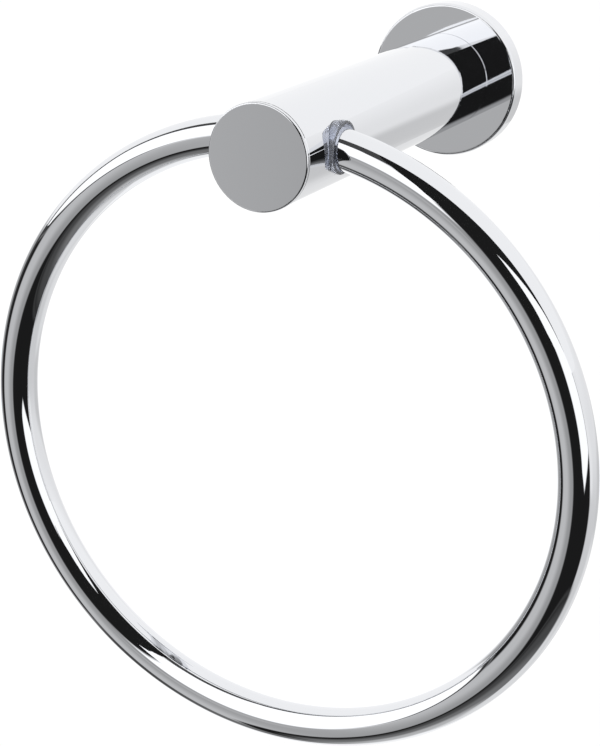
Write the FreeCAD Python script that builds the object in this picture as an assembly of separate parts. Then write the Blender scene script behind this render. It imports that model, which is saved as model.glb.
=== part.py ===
# Towel ring: a round bar ring hung in plastic bushings near the front of a
# tubular post, which stands on a round rose over a hidden wall bracket.
# Millimetres. The origin is the centre of the back of the rose, on the wall.
# +Y runs into the wall, +Z up, +X to the right as seen from the front.
import FreeCAD, Part
import math
import os

# Post
post_dia = 26.0
post_wall = 1.5
post_length = 113.0
post_rear_chamfer = 0.3

# End cap, pressed into the front of the post
cap_rim = 1.0
cap_edge_radius = 0.45
cap_plug_length = 3.0
cap_plug_chamfer = 0.3
seam_chamfer = 0.12

# Rose, a turned disc hollowed from behind
rose_dia = 42.8
rose_thickness = 6.0
rose_edge_radius = 0.9
rose_rim_wall = 3.5
rose_web = 1.8
rose_back_chamfer = 0.3

# Ring, an open circle of round bar whose ends lie inside the post
bar_dia = 10.0
ring_dia = 157.0
ring_setback = 17.4
pivot_rise = 1.0
pivot_inset = 1.1
ring_end_gap = 5.0
ring_end_chamfer = 0.6

# Bushings in the side holes of the post
bushing_play = 0.6
bushing_wall = 0.5
bushing_flange_width = 0.35
bushing_flange_thickness = 1.05
bushing_flange_edge_radius = 0.3
bushing_lip_height = 0.3
bushing_lip_thickness = 0.5

# Retaining clips on the ring's ends
clip_from_end = 1.2
clip_thickness = 0.8
clip_groove_depth = 0.8
clip_reach = 1.3
clip_mouth = 7.0
clip_notch_width = 1.6
clip_notch_angle = 62.0

# Threaded insert in the rear of the post
insert_length = 14.0
spigot_dia = 10.0
spigot_length = 1.5

# Centre screw and washer, which draw the rose against the post
screw_dia = 6.0
screw_reach = 14.0
screw_head_dia = 10.5
screw_head_height = 2.4
screw_head_chamfer = 0.35
screw_tip_chamfer = 0.75
screw_socket = 4.0
screw_socket_depth = 1.6
washer_dia = 14.0
washer_hole_dia = 6.4
washer_thickness = 1.2

# Wall bracket, a disc with two countersunk holes
bracket_thickness = 3.0
bracket_relief = 1.0
bracket_hole_dia = 4.5
bracket_hole_spacing = 25.0
countersink_dia = 8.0
groove_depth = 0.8
groove_from_wall = 2.1

# Grub screw in the underside of the rose
grub_dia = 3.0
grub_length = 4.0
grub_socket = 1.5
grub_socket_depth = 1.5

# Clearances
press_gap = 0.02
thread_gap = 0.02
spigot_gap = 0.05
seat_gap = 0.02
clip_gap = 0.05
bracket_gap = 0.2
grub_tip_gap = 0.1
# How far a cutting shape runs past the face it opens
overrun = 1.0

# Derived places
post_r = post_dia / 2
post_bore_r = post_r - post_wall
rose_face_y = -rose_thickness
rose_floor_y = rose_face_y + rose_web
recess_r = rose_dia / 2 - rose_rim_wall
front_y = rose_face_y - post_length
cap_seat_y = front_y + cap_rim
ring_y = front_y + ring_setback
bar_r = bar_dia / 2
ring_r = ring_dia / 2
bushing_bore_r = bar_r + bushing_play
sleeve_r = bushing_bore_r + bushing_wall
side_hole_r = sleeve_r + seat_gap
# The bar's centreline crosses the swing axis a little inside the wall of the post
pivot_x = post_r - pivot_inset
ring_centre = FreeCAD.Vector(0, ring_y, pivot_rise - math.sqrt(ring_r ** 2 - pivot_x ** 2))
bracket_r = recess_r - bracket_gap

X = FreeCAD.Vector(1, 0, 0)
Y = FreeCAD.Vector(0, 1, 0)
Z = FreeCAD.Vector(0, 0, 1)


def rod_y(radius, y_low, y_high):
    """A cylinder on the axis of the post, from one Y to another."""
    return Part.makeCylinder(radius, y_high - y_low, FreeCAD.Vector(0, y_low, 0), Y)


def tube_y(outer_r, inner_r, y_low, y_high):
    """A tube on the axis of the post."""
    return rod_y(outer_r, y_low, y_high).cut(rod_y(inner_r, y_low, y_high))


def circle_edges(shape, radius, y):
    """The circular edges of this radius about the post's axis at this Y."""
    found = []
    for edge in shape.Edges:
        curve = edge.Curve
        if not isinstance(curve, Part.Circle) or abs(curve.Radius - radius) > 1e-4:
            continue
        on_axis = math.hypot(curve.Center.x, curve.Center.z) < 1e-4
        if on_axis and abs(curve.Center.y - y) < 1e-4:
            found.append(edge)
    return found


def hexagon(across_flats, depth, start, direction):
    """A six-sided prism for a hex socket."""
    corner_r = across_flats / math.sqrt(3)
    corners = [FreeCAD.Vector(corner_r * math.cos(math.radians(60 * i)),
                              corner_r * math.sin(math.radians(60 * i)), 0) for i in range(7)]
    prism = Part.Face(Part.makePolygon(corners)).extrude(Z * depth)
    prism.Placement = FreeCAD.Placement(start, FreeCAD.Rotation(Z, direction))
    return prism


def make_end_cap():
    rim = rod_y(post_r, front_y, cap_seat_y)
    rim = rim.makeFillet(cap_edge_radius, circle_edges(rim, post_r, front_y))
    rim = rim.makeChamfer(seam_chamfer, circle_edges(rim, post_r, cap_seat_y))
    plug_r = post_bore_r - press_gap
    plug_end_y = cap_seat_y + cap_plug_length
    plug = rod_y(plug_r, front_y + cap_rim / 2, plug_end_y)
    plug = plug.makeChamfer(cap_plug_chamfer, circle_edges(plug, plug_r, plug_end_y))
    return rim.fuse(plug).removeSplitter()


def make_post_tube():
    tube = tube_y(post_r, post_bore_r, cap_seat_y, rose_face_y)
    tube = tube.makeChamfer(post_rear_chamfer, circle_edges(tube, post_r, rose_face_y))
    tube = tube.makeChamfer(seam_chamfer, circle_edges(tube, post_r, cap_seat_y))
    start = FreeCAD.Vector(-post_dia, ring_y, pivot_rise)
    side_holes = Part.makeCylinder(side_hole_r, 2 * post_dia, start, X)
    return tube.cut(side_holes)


def make_post_insert():
    body = rod_y(post_bore_r - press_gap, rose_face_y - insert_length, rose_face_y)
    spigot = rod_y(spigot_dia / 2, rose_face_y - insert_length / 2, rose_face_y + spigot_length)
    thread = rod_y(screw_dia / 2 + thread_gap, rose_face_y - insert_length, 0)
    return body.fuse(spigot).removeSplitter().cut(thread)


def make_rose():
    disc = rod_y(rose_dia / 2, rose_face_y, 0)
    disc = disc.makeFillet(rose_edge_radius, circle_edges(disc, rose_dia / 2, rose_face_y))
    disc = disc.makeChamfer(rose_back_chamfer, circle_edges(disc, rose_dia / 2, 0))
    disc = disc.cut(rod_y(recess_r, rose_floor_y, overrun))
    disc = disc.cut(rod_y(spigot_dia / 2 + spigot_gap, rose_face_y - overrun, 0))
    start = FreeCAD.Vector(0, -groove_from_wall, -rose_dia)
    return disc.cut(Part.makeCylinder(grub_dia / 2 + thread_gap, rose_dia, start, Z))


def make_centre_washer():
    return tube_y(washer_dia / 2, washer_hole_dia / 2, rose_floor_y, rose_floor_y + washer_thickness)


def make_centre_screw():
    seat_y = rose_floor_y + washer_thickness
    top_y = seat_y + screw_head_height
    head = rod_y(screw_head_dia / 2, seat_y, top_y)
    head = head.makeChamfer(screw_head_chamfer, circle_edges(head, screw_head_dia / 2, top_y))
    tip_y = seat_y - screw_reach
    shank = rod_y(screw_dia / 2, tip_y, seat_y + screw_head_height / 2)
    shank = shank.makeChamfer(screw_tip_chamfer, circle_edges(shank, screw_dia / 2, tip_y))
    mouth = FreeCAD.Vector(0, top_y + overrun, 0)
    socket = hexagon(screw_socket, screw_socket_depth + overrun, mouth, -Y)
    return head.fuse(shank).removeSplitter().cut(socket)


def make_wall_bracket():
    disc = tube_y(bracket_r, washer_dia / 2 + bracket_relief, -bracket_thickness, 0)
    low = FreeCAD.Vector(bracket_r, -groove_from_wall - groove_depth, 0)
    root = FreeCAD.Vector(bracket_r - groove_depth, -groove_from_wall, 0)
    high = FreeCAD.Vector(bracket_r, -groove_from_wall + groove_depth, 0)
    groove = Part.Face(Part.makePolygon([low, root, high, low])).revolve(FreeCAD.Vector(), Y, 360)
    disc = disc.cut(groove)
    hole_r = bracket_hole_dia / 2
    sink_depth = (countersink_dia - bracket_hole_dia) / 2
    for side in (-1, 1):
        mouth = FreeCAD.Vector(side * bracket_hole_spacing / 2, -bracket_thickness, 0)
        disc = disc.cut(Part.makeCylinder(hole_r, bracket_thickness, mouth, Y))
        disc = disc.cut(Part.makeCone(countersink_dia / 2, hole_r, sink_depth, mouth, Y))
    return disc


def make_grub_screw():
    tip_z = -(bracket_r - groove_depth + grub_tip_gap)
    grub_r = grub_dia / 2
    tip = FreeCAD.Vector(0, -groove_from_wall, tip_z)
    point = Part.makeCone(0, grub_r, grub_r, tip, -Z)
    body = Part.makeCylinder(grub_r, grub_length - grub_r, tip - Z * grub_r, -Z)
    mouth = tip - Z * (grub_length + overrun)
    socket = hexagon(grub_socket, grub_socket_depth + overrun, mouth, Z)
    return point.fuse(body).removeSplitter().cut(socket)


def on_ring(arc_length, side):
    """A point of the bar's centreline and the direction along it, measured from the
    middle of the gap, positive towards this side."""
    angle = side * arc_length / ring_r
    point = ring_centre + FreeCAD.Vector(math.sin(angle), 0, math.cos(angle)) * ring_r
    along = FreeCAD.Vector(math.cos(angle), 0, -math.sin(angle)) * side
    return point, along


def clip_place(side):
    """Where a retaining clip starts on the bar, and the direction outwards along the bar."""
    return on_ring(ring_end_gap / 2 + clip_from_end, side)


def make_ring():
    start, along = on_ring(ring_end_gap / 2, 1)
    section = Part.Face(Part.Wire(Part.makeCircle(bar_r, start, along)))
    gap_angle = math.degrees(ring_end_gap / ring_r)
    bar = section.revolve(ring_centre, Y, 360 - gap_angle)
    ends = [edge for edge in bar.Edges
            if isinstance(edge.Curve, Part.Circle) and abs(edge.Curve.Radius - bar_r) < 1e-4
            and abs(edge.Curve.Center.x) < ring_end_gap and edge.Curve.Center.z > ring_centre.z]
    bar = bar.makeChamfer(ring_end_chamfer, ends)
    for side in (-1, 1):
        place, along = clip_place(side)
        width = clip_thickness + clip_gap
        sleeve = Part.makeCylinder(bar_dia, width, place, along)
        core = Part.makeCylinder(bar_r - clip_groove_depth, width, place, along)
        bar = bar.cut(sleeve.cut(core))
    return bar


def make_clip(side):
    """A snap ring with an open mouth and two notches, in a groove of the bar."""
    inner_r = bar_r - clip_groove_depth + clip_gap
    outer_r = bar_r + clip_reach
    disc = Part.makeCylinder(outer_r, clip_thickness).cut(Part.makeCylinder(inner_r, clip_thickness))
    mouth = Part.makeBox(clip_mouth, outer_r, clip_thickness, FreeCAD.Vector(-clip_mouth / 2, -outer_r, 0))
    disc = disc.cut(mouth)
    for angle in (clip_notch_angle, 180 - clip_notch_angle):
        notch = Part.makeBox(inner_r + clip_reach / 2, clip_notch_width, clip_thickness,
                             FreeCAD.Vector(0, -clip_notch_width / 2, 0))
        notch.rotate(FreeCAD.Vector(), Z, angle)
        disc = disc.cut(notch)
    place, along = clip_place(side)
    disc.Placement = FreeCAD.Placement(place + along * (clip_gap / 2), FreeCAD.Rotation(Y, Z, along, "ZYX"))
    return disc


def make_bushing(side):
    """A sleeve snapped into a side hole. Its flange is flat outside and curved to the post behind."""
    start = FreeCAD.Vector(0, ring_y, pivot_rise)
    face_x = post_r + bushing_flange_thickness
    flange_r = sleeve_r + bushing_flange_width
    lip_r = post_bore_r - bushing_lip_thickness
    y_low = ring_y - post_dia
    y_high = ring_y + post_dia

    def rod_x(radius):
        return Part.makeCylinder(radius, face_x, start, X * side)

    sleeve = rod_x(sleeve_r).cut(rod_y(lip_r, y_low, y_high))
    flange = rod_x(flange_r)
    front = [edge for edge in flange.Edges
             if isinstance(edge.Curve, Part.Circle) and abs(abs(edge.Curve.Center.x) - face_x) < 1e-4]
    flange = flange.makeFillet(bushing_flange_edge_radius, front)
    flange = flange.cut(rod_y(post_r + seat_gap, y_low, y_high))
    lip = rod_x(sleeve_r + bushing_lip_height).common(tube_y(post_bore_r - seat_gap, lip_r, y_low, y_high))
    return sleeve.fuse([flange, lip]).removeSplitter().cut(rod_x(bushing_bore_r))


nodes = {
    "end_cap": make_end_cap(),
    "post_tube": make_post_tube(),
    "post_insert": make_post_insert(),
    "rose": make_rose(),
    "centre_washer": make_centre_washer(),
    "centre_screw": make_centre_screw(),
    "wall_bracket": make_wall_bracket(),
    "grub_screw": make_grub_screw(),
    "ring": make_ring(),
}
for side, word in ((-1, "left"), (1, "right")):
    nodes["bushing_" + word] = make_bushing(side)
    nodes["retaining_clip_" + word] = make_clip(side)

os.makedirs("parts", exist_ok=True)
for name, shape in nodes.items():
    solids = shape.Solids
    solid = solids[0] if len(solids) == 1 else shape
    box = solid.BoundBox
    print(f"{name:22s} solids {len(solids)} valid {shape.isValid()} volume {shape.Volume:9.1f} "
          f"x {box.XMin:.2f} {box.XMax:.2f} y {box.YMin:.2f} {box.YMax:.2f} z {box.ZMin:.2f} {box.ZMax:.2f}")
    solid.exportStep(os.path.join("parts", name + ".step"))
print(f"swing axis at y {ring_y:.3f} z {pivot_rise:.3f}, crossing x {pivot_x:.3f}")
print(f"ring centre z {ring_centre.z:.3f}")
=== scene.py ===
import bmesh
import bpy
import math
import mathutils
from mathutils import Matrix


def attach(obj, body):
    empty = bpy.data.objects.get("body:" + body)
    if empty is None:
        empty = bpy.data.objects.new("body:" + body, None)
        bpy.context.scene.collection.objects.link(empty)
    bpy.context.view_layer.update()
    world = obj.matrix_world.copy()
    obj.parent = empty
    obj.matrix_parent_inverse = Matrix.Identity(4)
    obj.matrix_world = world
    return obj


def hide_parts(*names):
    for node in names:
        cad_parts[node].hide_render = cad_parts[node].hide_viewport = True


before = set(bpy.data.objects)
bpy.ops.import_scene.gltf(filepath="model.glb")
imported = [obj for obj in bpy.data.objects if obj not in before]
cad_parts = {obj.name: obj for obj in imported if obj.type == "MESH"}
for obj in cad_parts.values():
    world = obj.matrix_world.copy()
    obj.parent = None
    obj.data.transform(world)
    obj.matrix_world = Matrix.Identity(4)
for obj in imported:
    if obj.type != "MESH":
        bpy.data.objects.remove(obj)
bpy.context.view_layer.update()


# Wall bracket: a disc pressed from 3 mm sheet steel and zinc plated, with two countersunk
# holes for the wall screws. The V turned round its edge takes the point of the grub screw.
class Signal:
    """One output in a node tree; arithmetic on it adds Math nodes."""

    def __init__(self, tree, socket=None):
        self.tree = tree
        self.socket = socket

    def node(self, kind, settings=None, inputs=None, output=0):
        """Adds a node: its settings first, then the values or links of its sockets."""
        made = self.tree.nodes.new(kind)
        for name, value in (settings or {}).items():
            setattr(made, name, value)
        for name, value in (inputs or {}).items():
            if isinstance(value, Signal):
                self.tree.links.new(value.socket, made.inputs[name])
            else:
                made.inputs[name].default_value = value
        return Signal(self.tree, made.outputs[output])

    def also(self, output):
        """Another output of the same node."""
        return Signal(self.tree, self.socket.node.outputs[output])

    def feed(self, shader, socket):
        """Links this output to a socket of another node."""
        self.tree.links.new(self.socket, shader.inputs[socket])

    def math(self, operation, *values):
        return self.node("ShaderNodeMath", {"operation": operation}, dict(enumerate(values)))

    def __add__(self, other):
        return self.math("ADD", self, other)

    def __sub__(self, other):
        return self.math("SUBTRACT", self, other)

    def __rsub__(self, other):
        return self.math("SUBTRACT", other, self)

    def __mul__(self, other):
        return self.math("MULTIPLY", self, other)

    def __pow__(self, other):
        return self.math("POWER", self, other)

    __radd__ = __add__
    __rmul__ = __mul__


def new_material(name, colour, metallic, roughness):
    """A Principled material, the first signal of its tree and its Object coordinates."""
    material = bpy.data.materials.new(name)
    material.use_nodes = True
    shader = material.node_tree.nodes["Principled BSDF"]
    shader.inputs["Base Color"].default_value = (*colour, 1)
    shader.inputs["Metallic"].default_value = metallic
    shader.inputs["Roughness"].default_value = roughness
    net = Signal(material.node_tree)
    return material, shader, net, net.node("ShaderNodeTexCoord", output="Object")


def cloudy(net, place, scale, detail=2.0, stretch=(1, 1, 1)):
    """Soft noise from 0 to 1; scale counts its patches in a metre."""
    mapped = net.node("ShaderNodeMapping", inputs={"Vector": place, "Scale": stretch})
    return net.node("ShaderNodeTexNoise",
                    inputs={"Vector": mapped, "Scale": scale, "Detail": detail})


def blended(net, amount, low, high):
    """A colour between two, for Base Color."""
    return net.node("ShaderNodeMix", {"data_type": "RGBA"},
                    {0: amount, 6: (*low, 1), 7: (*high, 1)}, 2)


def relief(net, shader, height, depth, strength=1.0):
    """Raises the surface by up to this depth, in metres."""
    bump = net.node("ShaderNodeBump",
                    inputs={"Height": height, "Distance": depth, "Strength": strength})
    bump.feed(shader, "Normal")


def paint(node, material):
    """Gives a CAD node its finish."""
    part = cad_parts[node]
    if not part.material_slots:
        part.data.materials.append(material)
    for material_slot in part.material_slots:
        material_slot.material = material


zinc, shader, net, place = new_material("bright_zinc", (0.62, 0.65, 0.68), 1, 0.3)
spangle = cloudy(net, place, 260, 3)
rolling = cloudy(net, place, 900, 2, (0.05, 1, 1))
blended(net, spangle, (0.56, 0.60, 0.66), (0.70, 0.70, 0.66)).feed(shader, "Base Color")
(0.22 + 0.16 * spangle).feed(shader, "Roughness")
relief(net, shader, rolling, 0.00001)
paint("wall_bracket", zinc)


# Centre washer and screw: a plain M6 washer and a low hex socket screw, zinc plated as well.
# From behind they draw the rose against the post before it goes on the wall.
paint("centre_washer", zinc)

screw_pitch = 0.001
thread_half = 0.0031
zinc_thread, shader, net, place = new_material("zinc_thread", (0.62, 0.65, 0.68), 1, 0.3)
axes = net.node("ShaderNodeSeparateXYZ", inputs={0: place})
around = net.math("ARCTAN2", axes.also(2), axes)
helix = net.math("SINE", axes.also(1) * (2 * math.pi / screw_pitch) + around)
from_axis = (axes ** 2 + axes.also(2) ** 2) ** 0.5
on_shank = net.math("LESS_THAN", from_axis, thread_half)
spangle = cloudy(net, place, 300, 3)
blended(net, spangle, (0.56, 0.60, 0.66), (0.70, 0.70, 0.66)).feed(shader, "Base Color")
(0.24 + 0.14 * cloudy(net, place, 400)).feed(shader, "Roughness")
relief(net, shader, helix * on_shank, 0.0002)
paint("centre_screw", zinc_thread)


# Rose: a disc turned from brass bar and hollowed from behind, polished and chrome plated.
# Its round hides the bracket and the screws, and nothing but the grub screw shows on it.
chrome, shader, net, place = new_material("polished_chrome", (0.79, 0.80, 0.825), 1, 0.02)
buffing = cloudy(net, place, 70, 2)
haze = cloudy(net, place, 35, 3)
(0.012 + 0.022 * haze).feed(shader, "Roughness")
relief(net, shader, buffing, 0.000012)
paint("rose", chrome)


# Threaded insert: a brass plug turned to a press fit and driven into the rear of the post.
# Its spigot centres the post on the rose, and the turning marks are left on it.
brass, shader, net, place = new_material("bare_brass", (0.72, 0.56, 0.30), 1, 0.3)
axes = net.node("ShaderNodeSeparateXYZ", inputs={0: place})
from_axis = (axes ** 2 + axes.also(2) ** 2) ** 0.5
tool_feed = 0.0002
turning = net.math("SINE", (from_axis + axes.also(1)) * (2 * math.pi / tool_feed))
tarnish = cloudy(net, place, 150, 4)
blended(net, tarnish, (0.60, 0.43, 0.19), (0.83, 0.66, 0.36)).feed(shader, "Base Color")
(0.2 + 0.22 * tarnish).feed(shader, "Roughness")
relief(net, shader, turning, 0.000006)
paint("post_insert", brass)


# Post and end cap: the post is a drawn brass tube with a side hole bored each side, and the cap
# is turned and pressed into its front. Both are polished together and have the rose's chrome.
for node in ("post_tube", "end_cap"):
    paint(node, chrome)


# Bushings: clear plastic sleeves snapped into the two side holes, so that the bar doesn't rub
# on the chrome. The flange is flat outside and curved behind to lie on the post.
post_r = 0.013
post_bore_r = 0.0115
ring_y = -0.1016
swing_z = 0.001
bushing_bore_r = 0.0056
sleeve_r = 0.0061
flange_r = 0.00645
flange_thickness = 0.00105
flange_face_x = post_r + flange_thickness
lip_thickness = 0.0005
lip_r = 0.0064
# The flange and the lip stand this far off the two sides of the post's wall
seat_gap = 0.00002
seat_x = post_r + seat_gap
lip_out_x = post_bore_r - seat_gap
lip_in_x = post_bore_r - lip_thickness
edge_round = 0.0003
mouth_round = 0.00012
# A round edge passes these shares of its radius from the two faces that it joins
arc_half = 0.5
arc_end = 0.13
mouth_cut = 0.3
# The thin rim of the flange keeps this share of its flat place, and the rest follows the post
rim_lift = 0.8
bushing_sides = 96
same_place = 0.000001
smooth_below = math.radians(35)

plastic, shader, net, place = new_material("clear_plastic", (0.80, 0.83, 0.90), 0, 0.08)
shader.inputs["IOR"].default_value = 1.46
shader.inputs["Transmission Weight"].default_value = 0.85
moulding = cloudy(net, place, 500, 2)
# Painted shade: the base colour goes dark where the surface turns away from the view, drawing dark rims on
# the clear plastic
painted_rim_shade = net.node("ShaderNodeLayerWeight", inputs={"Blend": 0.5}, output=1)
blended(net, painted_rim_shade ** 1.5, (0.75, 0.78, 0.86), (0.15, 0.165, 0.24)).feed(shader, "Base Color")
(0.12 + 0.1 * moulding).feed(shader, "Roughness")
relief(net, shader, moulding, 0.000004)

# The bushing's outline from the mouth of the bore round the flange, the sleeve and the lip: at
# each point its distance out along the bar's axis and its radius
bushing_outline = [
    (lip_in_x, bushing_bore_r),
    (flange_face_x - mouth_round, bushing_bore_r),
    (flange_face_x - mouth_round * mouth_cut, bushing_bore_r + mouth_round * mouth_cut),
    (flange_face_x, bushing_bore_r + mouth_round),
    (flange_face_x, flange_r - edge_round),
    (flange_face_x - edge_round * arc_end, flange_r - edge_round * arc_half),
    (flange_face_x - edge_round * arc_half, flange_r - edge_round * arc_end),
    (flange_face_x - edge_round, flange_r),
    (seat_x, flange_r),
    (seat_x, sleeve_r),
    (lip_out_x, sleeve_r),
    (lip_out_x, lip_r),
    (lip_in_x, lip_r),
    (lip_in_x, bushing_bore_r),
]
for side, word in ((-1, "left"), (1, "right")):
    out_x, radius = bushing_outline[0]
    bpy.ops.object.select_all(action="DESELECT")
    bpy.ops.mesh.primitive_circle_add(
        vertices=bushing_sides, radius=radius, location=(side * out_x, ring_y, swing_z),
        rotation=(0, math.pi / 2, 0))
    bushing = bpy.context.object
    bushing.name = "clear_bushing_" + word
    bpy.ops.object.transform_apply()
    bpy.ops.object.mode_set(mode="EDIT")
    bpy.ops.mesh.select_all(action="SELECT")
    for next_x, next_radius in bushing_outline[1:]:
        bpy.ops.mesh.extrude_region_move(
            TRANSFORM_OT_translate={"value": (side * (next_x - out_x), 0, 0)})
        bpy.ops.transform.resize(value=(1, next_radius / radius, next_radius / radius),
                                 center_override=(side * next_x, ring_y, swing_z))
        out_x, radius = next_x, next_radius
    bpy.ops.mesh.select_all(action="SELECT")
    bpy.ops.mesh.remove_doubles(threshold=same_place)
    # What lies between the post's two sides and its flange takes the round of the post
    shape = bmesh.from_edit_mesh(bushing.data)
    for vertex in shape.verts:
        if abs(vertex.co.x) < seat_x + same_place:
            on_post = math.sqrt(vertex.co.x ** 2 - vertex.co.z ** 2)
            from_bar = math.hypot(vertex.co.y - ring_y, vertex.co.z - swing_z)
            on_rim = abs(vertex.co.x) > lip_out_x + same_place and from_bar > flange_r - same_place
            vertex.co.x = side * (on_post + (abs(vertex.co.x) - on_post) * rim_lift * on_rim)
    bmesh.update_edit_mesh(bushing.data)
    bpy.ops.mesh.normals_make_consistent(inside=False)
    bpy.ops.object.mode_set(mode="OBJECT")
    bpy.ops.object.shade_smooth_by_angle(angle=smooth_below)
    bushing.data.materials.append(plastic)
    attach(bushing, "holder")
    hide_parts("bushing_" + word)


# Ring: 10 mm round bar bent to an open circle, its two ends inside the post. A groove for a
# clip is turned near each end, the ends are chamfered, and the whole is polished and chromed.
bar_r = 0.005
ring_r = 0.0785
ring_centre = mathutils.Vector((0, ring_y, -0.0765934))
half_gap = 0.0025
end_to_groove = 0.0012
groove_width = 0.00085
groove_r = 0.0042
end_chamfer = 0.0006
bar_sides = 72
bar_steps = 540
on_end = 1.001


def on_bar(angle):
    """The bar's centre at this angle from the top, positive towards +X."""
    return ring_centre + mathutils.Vector((math.sin(angle), 0, math.cos(angle))) * ring_r


def spin_on(length, steps, way):
    """Carries the selected end of the bar on round the circle."""
    bpy.ops.mesh.spin(steps=steps, angle=-way * length / ring_r, center=ring_centre, axis=(0, 1, 0))


def step_to(radius_now, radius_next, angle):
    """Steps the selected end in or out to another radius."""
    bpy.ops.mesh.extrude_region_move()
    ratio = radius_next / radius_now
    bpy.ops.transform.resize(value=(ratio, ratio, ratio), center_override=on_bar(angle))


bar_start = (half_gap + end_to_groove + groove_width) / ring_r
bpy.ops.object.select_all(action="DESELECT")
bpy.ops.mesh.primitive_circle_add(vertices=bar_sides, radius=bar_r, location=on_bar(bar_start),
                                  rotation=(0, math.pi / 2 + bar_start, 0))
ring = bpy.context.object
ring.name = "chromed_ring"
bpy.ops.object.transform_apply()
bpy.ops.object.mode_set(mode="EDIT")
bpy.ops.mesh.select_all(action="SELECT")
spin_on((2 * math.pi - 2 * bar_start) * ring_r, bar_steps, 1)
for way in (1, -1):
    start = -way * bar_start
    if way == -1:
        bpy.ops.mesh.select_all(action="DESELECT")
        shape = bmesh.from_edit_mesh(ring.data)
        for vertex in shape.verts:
            vertex.select = (vertex.co - on_bar(bar_start)).length < bar_r * on_end
        shape.select_flush(True)
        bmesh.update_edit_mesh(ring.data)
    step_to(bar_r, groove_r, start)
    spin_on(groove_width, 2, way)
    start = -way * (half_gap + end_to_groove) / ring_r
    step_to(groove_r, bar_r, start)
    spin_on(end_to_groove - end_chamfer, 2, way)
    spin_on(end_chamfer, 1, way)
    narrowed = (bar_r - end_chamfer) / bar_r
    bpy.ops.transform.resize(value=(narrowed, narrowed, narrowed),
                             center_override=on_bar(-way * half_gap / ring_r))
    bpy.ops.mesh.edge_face_add()
bpy.ops.mesh.select_all(action="SELECT")
bpy.ops.mesh.remove_doubles(threshold=same_place)
bpy.ops.mesh.normals_make_consistent(inside=False)
bpy.ops.object.mode_set(mode="OBJECT")
bpy.ops.object.shade_smooth_by_angle(angle=smooth_below)
ring.data.materials.append(chrome)
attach(ring, "ring")
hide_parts("ring")


# Retaining clips: snap rings stamped from spring steel, phosphated and oiled, sprung into the
# grooves near the ring's ends. They keep the bar from sliding out of the post.
spring_steel, shader, net, place = new_material("phosphated_spring_steel", (0.20, 0.20, 0.21), 1, 0.4)
oiled = cloudy(net, place, 700, 4)
blended(net, oiled, (0.13, 0.13, 0.14), (0.27, 0.27, 0.28)).feed(shader, "Base Color")
(0.3 + 0.25 * oiled).feed(shader, "Roughness")
relief(net, shader, oiled, 0.000008)
for node in ("retaining_clip_left", "retaining_clip_right"):
    paint(node, spring_steel)


# Grub screw: an M3 stainless screw with a hex socket and a cone point. It goes up through the
# underside of the rose into the bracket's groove, and holds the whole ring on the wall.
grub_pitch = 0.0005
grub_y = -0.0021
stainless, shader, net, place = new_material("stainless_steel", (0.55, 0.55, 0.56), 1, 0.3)
axes = net.node("ShaderNodeSeparateXYZ", inputs={0: place})
around = net.math("ARCTAN2", axes.also(1) - grub_y, axes)
helix = net.math("SINE", axes.also(2) * (2 * math.pi / grub_pitch) + around)
smut = cloudy(net, place, 900, 3)
blended(net, smut, (0.46, 0.46, 0.47), (0.62, 0.62, 0.62)).feed(shader, "Base Color")
(0.2 + 0.2 * smut).feed(shader, "Roughness")
relief(net, shader, helix, 0.00008)
paint("grub_screw", stainless)


# Floor: plain and white, far enough below the ring to stay out of its way. It can't be seen
# from underneath, so that it hides nothing there.
floor_drop = 0.30
floor_size = 12.0
bpy.ops.object.select_all(action="DESELECT")
bpy.ops.mesh.primitive_plane_add(size=floor_size, location=(0, 0, -floor_drop))
floor = bpy.context.object
floor.name = "floor"
floor_white, shader, net, place = new_material("floor_white", (1.0, 1.0, 1.0), 0, 0.9)
shader.inputs["Specular IOR Level"].default_value = 0
floor_surface = Signal(floor_white.node_tree, shader.outputs["BSDF"])
from_under = net.node("ShaderNodeNewGeometry", output="Backfacing")
one_sided = net.node("ShaderNodeMixShader", inputs={
    0: from_under, 1: floor_surface, 2: net.node("ShaderNodeBsdfTransparent")})
one_sided.feed(floor_white.node_tree.nodes["Material Output"], "Surface")
floor.data.materials.append(floor_white)
floor.visible_glossy = False


# Studio: white all round for the camera and for clear plastic, and a pattern of
# soft boxes and dark cards that only the metal mirrors.
chrome_share = 0.80


def seen(grey):
    """The strength at which chrome mirrors a light as this grey level, from 0 to 255."""
    return ((grey / 255 + 0.055) / 1.055) ** 2.4 / chrome_share


studio = bpy.data.worlds.new("studio")
bpy.context.scene.world = studio
studio.use_nodes = True
studio.node_tree.nodes.clear()
net = Signal(studio.node_tree)


def rise(signal, edge, soft):
    """0 below the edge and 1 above it, with a soft step between."""
    return net.node("ShaderNodeMapRange", {"interpolation_type": "SMOOTHSTEP"},
                    {0: signal, 1: edge - soft, 2: edge + soft, 3: 0.0, 4: 1.0})


def fall(signal, edge, soft):
    return rise(signal * -1, -edge, soft)


ray = net.node("ShaderNodeTexCoord", output="Generated")
axes = net.node("ShaderNodeSeparateXYZ", inputs={0: ray})
degrees = 180 / math.pi
# Side is measured from straight in front of the wall, positive towards +X.
side = net.math("ARCTAN2", axes, axes.also(1) * -1) * degrees
height = net.math("ARCSINE", axes.also(2)) * degrees
above = net.math("MAXIMUM", height, 0)
below = net.math("MINIMUM", height, 0)


def panel(light, level, mask):
    """Lays a panel of one grey level over the light so far."""
    return light + (seen(level) - light) * mask


def card(light, grey, left, right, low, high, soft_side=3, soft_height=3):
    """Hangs a card or panel between two sides and two heights, with soft edges."""
    across = rise(side, left, soft_side) * fall(side, right, soft_side)
    return panel(light, grey, across * rise(height, low, soft_height) * fall(height, high, soft_height))


def oval(light, grey, centre_side, centre_height, half_width, half_height, soft=0.15):
    """A round panel: its edge is softened by this share of its size."""
    sideways = (side - centre_side) * (1 / half_width)
    upwards = (height - centre_height) * (1 / half_height)
    return panel(light, grey, fall((sideways ** 2 + upwards ** 2) ** 0.5, 1, soft))


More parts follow.
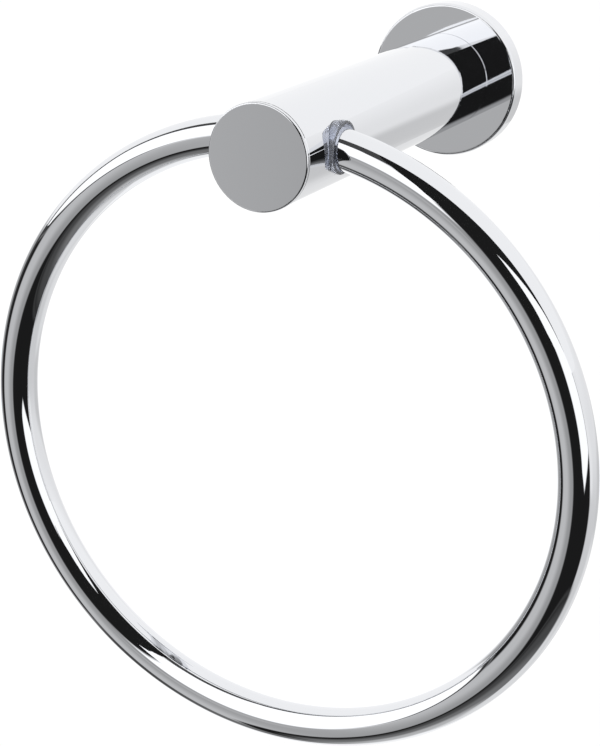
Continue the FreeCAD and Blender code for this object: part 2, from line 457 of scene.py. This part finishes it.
# Pale walls behind the object, brighter low down on the left, darker low down on the right
light = panel(height * 0, 238, height * 0 + 1)
light = card(light, 222, 85, 185, -95, 10, 10, 16)
light = card(light, 200, 85, 178, -95, -16, 8, 9)
light = card(light, 193, 140, 185, -27, -13, 10, 4)
light = card(light, 216, 140, 185, -50, -28, 10, 3)
light = oval(light, 254, -143, -25, 20, 20, 0.4)
light = card(light, 216, -185, -160, -40, -12, 6, 5)
# The floor of the studio, darkest where it meets the cards
light = card(light, 215, 95, 185, -95, -52, 12, 8)
light = card(light, 68, -122, 98, -95, -42, 10, 3)
light = card(light, 108, -122, 98, -95, -60, 10, 7)
light = card(light, 176, -185, 185, -95, -77, 10, 7)
# Dark stand at the left end of the room
light = card(light, 158, -118, -60, -46, 2, 10, 2)
light = card(light, 24, -94, -69, -46, 3, 4, 2)
light = card(light, 60, -97, -84, -44, 26, 2, 8)
# Grey front wall below the soft box, and the black gap under it
wall_grey = rise(side, -66, 3) * fall(side, 6, 2) * fall(height, 0, 2)
gap_slope = 0.45
gap_height = height - gap_slope * side
light = panel(light, 148, wall_grey * rise(gap_height, -40, 2))
light = panel(light, 184, wall_grey * rise(gap_height, -40, 2) * fall(side, -29, 14))
light = oval(light, 168, -21, -10, 4.2, 5.5, 0.3)
gap = rise(gap_height, -43, 4) * fall(gap_height, -34, 1.5)
light = panel(light, 24, rise(side, -72, 8) * fall(side, 0, 3) * gap)
# Black card to the right of the lens
light = card(light, 26, -5, 89, -46, 60, 4, 5)
light = card(light, 26, -8, 0, -8, 60, 3, 4)
# Right soft box, with its lower corner drawn to a point
foot_side = 54
foot_slope = 0.36
foot_height = -18
box_foot = net.math("ABSOLUTE", side - foot_side) * foot_slope + foot_height
right_box = rise(side, 44, 2) * fall(height, 34, 2) * rise(height - box_foot, 0, 1)
light = panel(light, 255, right_box * fall(side, 84.5, 1))
box_end = rise(side, 86, 1) * fall(side, 102, 8) * rise(height, -18, 3) * fall(height, 34, 3)
light = panel(light, 228, box_end)
# Big soft box to the left
lean_above = 0.3
lean_below = 0.85
edge_side = -9
right_edge = above * lean_above + below * lean_below + edge_side
boxed = fall(side - right_edge, 0, 1.5) * rise(side, -86, 2)
light = panel(light, 262, boxed * rise(height, 2, 2.5) * fall(height, 66, 3))
light = card(light, 50, -90, -36, 1, 4, 8, 0.8)

# The camera and clear plastic see this instead of the pattern
white = 1.03
mirrored = net.node("ShaderNodeLightPath", output="Is Glossy Ray")
shown = white + (light - white) * mirrored
background = net.node("ShaderNodeBackground", inputs={"Color": net.node(
    "ShaderNodeCombineColor", inputs={0: shown, 1: shown, 2: shown}), "Strength": 1.0})
world_out = studio.node_tree.nodes.new("ShaderNodeOutputWorld")
background.feed(world_out, "Surface")

# Low ceiling of pale cloth over the object, with two soft boxes and the black opening for
# the lens. Only the metal below it mirrors it.
ceiling_height = 0.110
layer_gap = 0.0005
ceiling_cards = [
    ("ceiling_cloth", 237, [(-2.5, -0.6), (0.7, -0.6), (0.7, 0.3), (-2.5, 0.3)]),
    ("ceiling_opening", 26, [(0.0, -0.6), (0.5, -0.6), (0.5, -0.165), (0.25, -0.152), (0.02, -0.152),
                             (0.02, -0.3)]),
    ("ceiling_slit", 66, [(0.02, -0.152), (0.02, -0.23), (-0.03, -0.22), (-0.10, -0.155), (-0.30, -0.135),
                          (-2.5, -0.30), (-2.5, 0.02), (-0.30, -0.088), (-0.14, -0.108), (-0.06, -0.13),
                          (-0.02, -0.148)]),
    ("ceiling_box_left", 262, [(0.008, -0.6), (0.012, -0.45), (0.022, -0.35), (0.020, -0.29), (0.010, -0.25),
                               (-0.005, -0.218), (-0.06, -0.185), (-0.12, -0.150), (-0.2, -0.132),
                               (-0.30, -0.122), (-2.5, -0.26), (-2.5, -0.6)]),
    ("ceiling_box_right", 255, [(0.155, -0.30), (0.175, -0.265), (0.23, -0.215), (0.30, -0.185),
                                (0.7, -0.15), (0.7, -0.6), (0.42, -0.55), (0.30, -0.42),
                                (0.20, -0.35)]),
]
for layer, (name, grey, corners) in enumerate(ceiling_cards):
    card_height = ceiling_height - layer * layer_gap
    cloth_mesh = bpy.data.meshes.new(name)
    cloth_mesh.from_pydata([(cx, cy, card_height) for cx, cy in corners], [], [range(len(corners))])
    if cloth_mesh.polygons[0].normal.z < 0:
        cloth_mesh.flip_normals()
    cloth = bpy.data.objects.new(name, cloth_mesh)
    bpy.context.scene.collection.objects.link(cloth)
    glow = bpy.data.materials.new(name)
    glow.use_nodes = True
    glow.node_tree.nodes.clear()
    net = Signal(glow.node_tree)
    from_below = net.node("ShaderNodeNewGeometry", output="Backfacing")
    clear_air = net.node("ShaderNodeBsdfTransparent")
    emission = net.node("ShaderNodeEmission", inputs={"Strength": seen(grey)})
    one_sided = net.node("ShaderNodeMixShader", inputs={0: from_below, 1: clear_air, 2: emission})
    one_sided.feed(glow.node_tree.nodes.new("ShaderNodeOutputMaterial"), "Surface")
    cloth_mesh.materials.append(glow)
    cloth.visible_camera = False
    cloth.visible_diffuse = False
    cloth.visible_transmission = False
    cloth.visible_shadow = False

bpy.context.scene.view_settings.view_transform = "Standard"

# Camera: to the right of the object and above it, with a long lens, and held a little askew
camera_place = (0.19699, -0.50377, 0.10426)
camera_turn = 25.53
camera_tilt = 19.91
camera_roll = 2.41
lens = bpy.data.cameras.new("camera")
lens.sensor_width = 36
lens.lens = 92.41
camera = bpy.data.objects.new("camera", lens)
bpy.context.scene.collection.objects.link(camera)
camera.location = camera_place
turned = mathutils.Matrix.Rotation(math.radians(camera_turn), 3, "Z")
tilted = mathutils.Matrix.Rotation(math.radians(90 - camera_tilt), 3, "X")
rolled = mathutils.Matrix.Rotation(math.radians(camera_roll), 3, "Z")
camera.rotation_euler = (turned @ tilted @ rolled).to_euler()
bpy.context.scene.camera = camera
